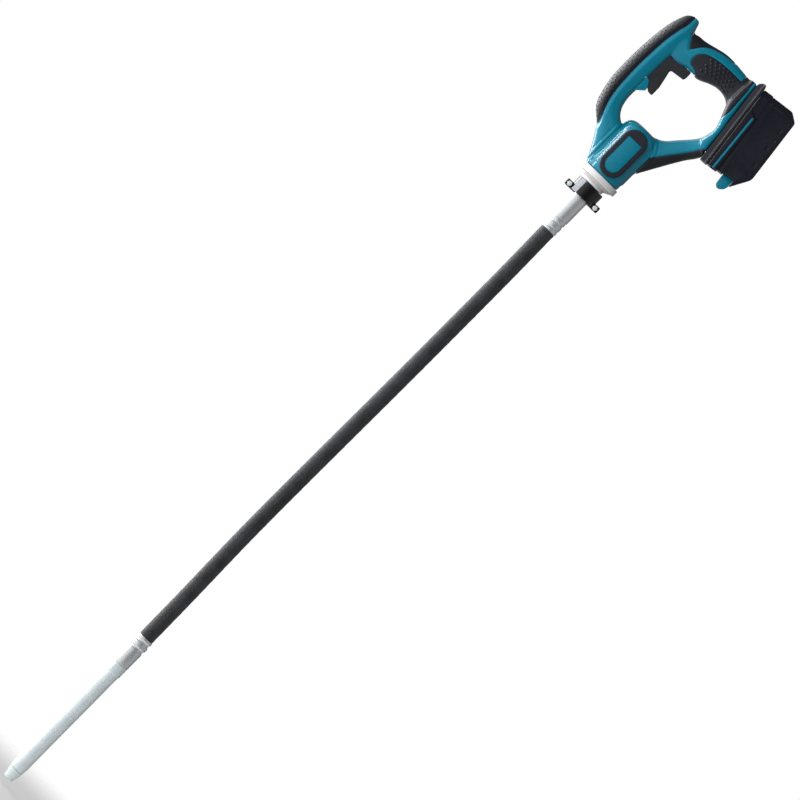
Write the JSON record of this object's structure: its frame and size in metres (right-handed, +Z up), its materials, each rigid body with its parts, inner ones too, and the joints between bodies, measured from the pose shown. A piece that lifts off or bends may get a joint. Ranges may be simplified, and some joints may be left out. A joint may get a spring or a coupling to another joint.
{
  "type": "concrete vibrator",
  "caption": "Cordless concrete vibrator with a D-shaped two-grip handle, slide-on battery, in-line motor, flexible shaft in a rubber hose and a steel vibrating head.",
  "frame": {"origin": "middle of the top grip, on the axis of the flexible shaft, where one hand carries the tool", "axes": "+Z up the shaft axis from the vibrating head to the handle, +X towards the battery, +Y across the handle"},
  "size_m": [0.2381, 0.0806, 1.4145],
  "materials": {
    "teal_nylon": "satin moulded",
    "soft_rubber": "matt, fine grain",
    "black_nylon": "fine moulded grain",
    "clamp_black": "satin black",
    "pale_alloy": "cast and turned",
    "cell_sleeve": "shrink sleeve",
    "plated_steel": "bright zinc plate",
    "hose_rubber": "matt, cloth-wrapped",
    "contact_brass": "plated",
    "wire_jacket": "smooth"
  },
  "bodies": {
    "handle": {"housing_front": "teal_nylon", "housing_back": "teal_nylon", "rear_grip_cover_front": "soft_rubber", "rear_grip_cover_back": "soft_rubber", "saddle_cover_front": "soft_rubber", "saddle_cover_back": "soft_rubber", "palm_cover_front": "soft_rubber", "palm_cover_back": "soft_rubber", "arm_cover_front": "soft_rubber", "arm_cover_back": "soft_rubber", "side_pad_front": "soft_rubber", "side_pad_back": "soft_rubber", "badge_plate_front": "teal_nylon", "badge_plate_back": "teal_nylon", "housing_screw_1": "plated_steel", "housing_screw_2": "plated_steel", "housing_screw_3": "plated_steel", "housing_screw_4": "plated_steel", "trigger_pin": "plated_steel", "switch_module": "black_nylon", "battery_lead": "wire_jacket", "motor_lead": "wire_jacket", "foot_bumper": "soft_rubber", "battery_foot": "black_nylon", "accent_strip_front": "teal_nylon", "accent_strip_back": "teal_nylon", "terminal_block": "black_nylon", "front_flange": "pale_alloy", "bearing_neck": "pale_alloy", "shaft_clamp_front": "clamp_black", "shaft_clamp_back": "clamp_black", "clamp_bolt_left": "plated_steel", "clamp_bolt_right": "plated_steel", "shaft_sleeve": "plated_steel", "upper_ferrule": "plated_steel", "motor_can": "plated_steel", "front_bearing": "plated_steel", "rear_bearing": "plated_steel", "hose_upper": "hose_rubber"},
    "trigger": {"trigger": "black_nylon"},
    "plunger": {"switch_plunger": "black_nylon"},
    "battery": {"battery_tub": "black_nylon", "battery_lid": "black_nylon", "cell_pack": "cell_sleeve", "battery_terminals": "contact_brass"},
    "battery_release": {"battery_button": "teal_nylon"},
    "rotor": {"motor_armature": "plated_steel", "cooling_fan": "black_nylon", "drive_coupling": "plated_steel", "inner_shaft_upper": "plated_steel"},
    "lower_shaft": {"hose_lower": "hose_rubber", "lower_ferrule": "plated_steel", "head_tube": "plated_steel", "head_tip": "plated_steel", "head_bearing_upper": "plated_steel", "head_bearing_lower": "plated_steel"},
    "eccentric": {"inner_shaft_lower": "plated_steel", "eccentric_weight": "plated_steel"}
  },
  "joints": [
    {"name": "trigger_pull", "type": "hinge", "parent": "handle", "child": "trigger", "pos_m": [-0.054, 0, -0.074], "axis": [0, -1, 0], "range_deg": [0, 10], "stiffness_Nm_per_rad": 1.5, "springref_deg": -5.73},
    {"name": "plunger_push", "type": "slide", "parent": "handle", "child": "plunger", "axis": [-1, 0, 0], "range_m": [0, 0.005]},
    {"name": "battery_slide", "type": "slide", "parent": "handle", "child": "battery", "axis": [0.1219, 0, -0.9925], "range_m": [0, 0.1]},
    {"name": "battery_release_press", "type": "slide", "parent": "battery", "child": "battery_release", "axis": [0.9925, 0, 0.1219], "range_m": [0, 0.005], "stiffness_N_per_m": 800, "springref_m": -0.004},
    {"name": "rotor_spin", "type": "hinge", "parent": "handle", "child": "rotor", "pos_m": [0, 0, -0.181], "axis": [0, 0, 1], "continuous": true},
    {"name": "hose_flex", "type": "hinge", "parent": "handle", "child": "lower_shaft", "pos_m": [0, 0, -0.71375], "axis": [0, -1, 0], "range_deg": [-30, 30], "stiffness_Nm_per_rad": 6},
    {"name": "eccentric_spin", "type": "hinge", "parent": "lower_shaft", "child": "eccentric", "pos_m": [0, 0, -1.251], "axis": [0, 0, 1], "continuous": true}
  ],
  "couplings": [
    {"joint": "plunger_push", "follows": "trigger_pull", "m_per_rad": 0.028},
    {"joint": "eccentric_spin", "follows": "rotor_spin", "ratio": 1}
  ]
}
